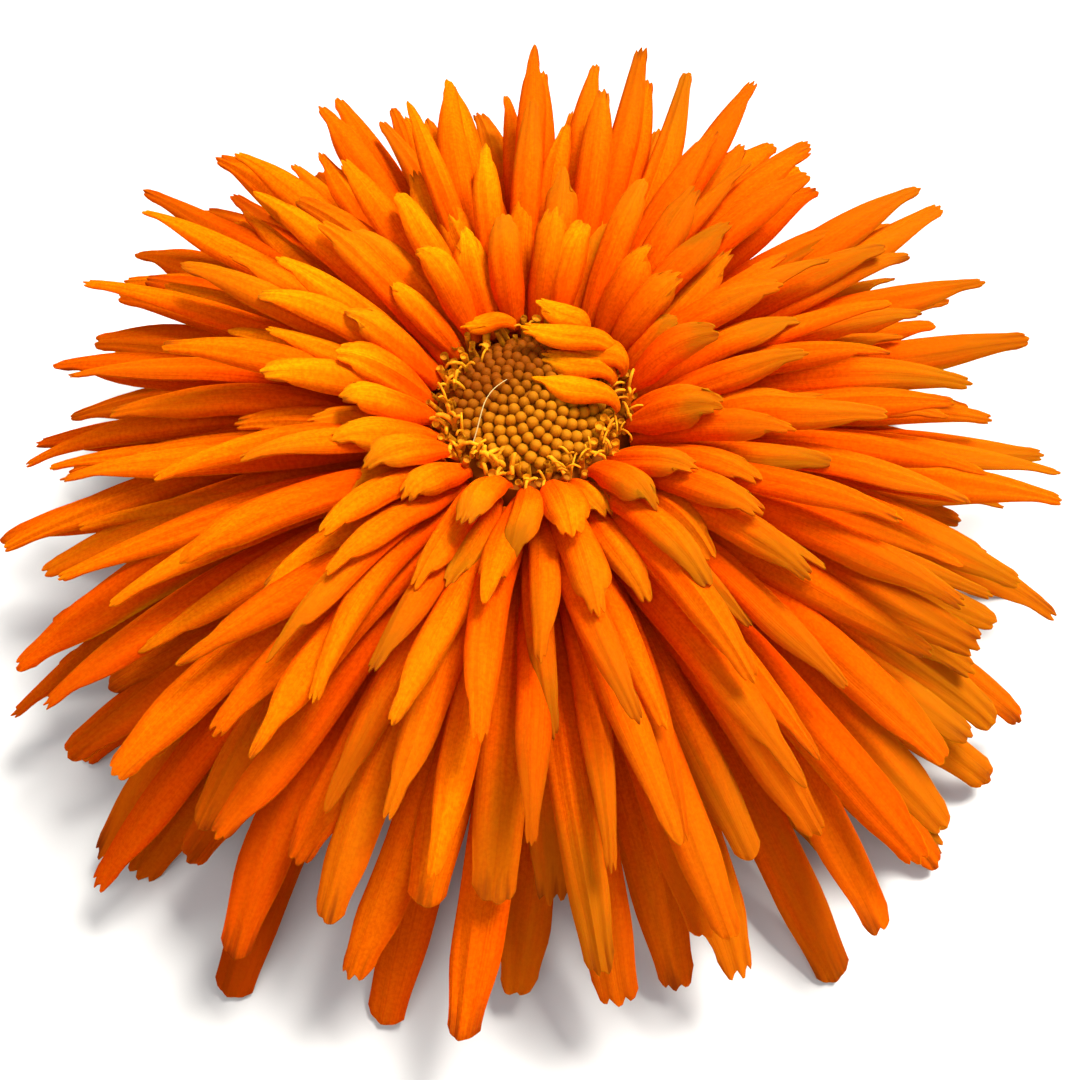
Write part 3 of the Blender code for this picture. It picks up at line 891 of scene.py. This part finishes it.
def addFloor():
    bm = bmesh.new()
    bmesh.ops.create_grid(bm, x_segments=1, y_segments=1, size=studio["floorSize"])
    mesh = bpy.data.meshes.new("floor")
    bm.to_mesh(mesh)
    bm.free()
    material, _, shader = newMaterial("floorPaper")
    shader.inputs["Base Color"].default_value = (*studio["floorColour"], 1.0)
    shader.inputs["Roughness"].default_value = 0.8
    mesh.materials.append(material)
    floor = bpy.data.objects.new("floor", mesh)
    floor.location = (0.0, 0.0, cadBox[0][2])
    bpy.context.scene.collection.objects.link(floor)


def addLight(name):
    data = bpy.data.lights.new(f"{name}Light", "AREA")
    data.energy = studio[name]
    data.size = studio[f"{name}Size"]
    data.color = studio[f"{name}Colour"]
    light = bpy.data.objects.new(f"{name}Light", data)
    light.location = studio[f"{name}Place"]
    facing = Vector(studio["aim"]) - light.location
    light.rotation_euler = facing.to_track_quat("-Z", "Y").to_euler()
    bpy.context.scene.collection.objects.link(light)


cameraSetup = {"lens": 50.0, "elevation": 54.0, "distance": 99.4, "drop": 5.52, "yaw": 0.52}


def addCamera():
    data = bpy.data.cameras.new("camera")
    data.lens = cameraSetup["lens"]
    data.clip_start = 0.005
    camera = bpy.data.objects.new("camera", data)
    elevation = math.radians(cameraSetup["elevation"])
    target = axisPoint + Vector((0.0, 0.0, (flower["discBase"] + 1.2) * mm))
    away = Vector((0.0, -math.cos(elevation), math.sin(elevation)))
    camera.location = target + away * cameraSetup["distance"] * mm
    pitch = math.radians(90.0 - cameraSetup["elevation"] - cameraSetup["drop"])
    camera.rotation_euler = (pitch, 0.0, -math.radians(cameraSetup["yaw"]))
    bpy.context.scene.collection.objects.link(camera)
    bpy.context.scene.camera = camera


addFloor()
addLight("key")
addLight("fill")


def addWorld():
    # a pale glow around the horizon under a dim ceiling
    world = bpy.data.worlds.new("studio")
    world.use_nodes = True
    tree = world.node_tree
    background = tree.nodes["Background"]
    place = tree.nodes.new("ShaderNodeSeparateXYZ")
    tree.links.new(tree.nodes.new("ShaderNodeTexCoord").outputs["Generated"], place.inputs[0])
    ceiling = (studio["ceiling"],) * 3
    horizon = (studio["horizon"],) * 3
    share = stepNode(tree, place.outputs[2], *studio["skyFade"])
    tree.links.new(mixColour(tree, "MIX", share, horizon, ceiling), background.inputs["Color"])
    bpy.context.scene.world = world


addWorld()
addCamera()
bpy.context.scene.view_settings.view_transform = "Standard"

print("scene ready")
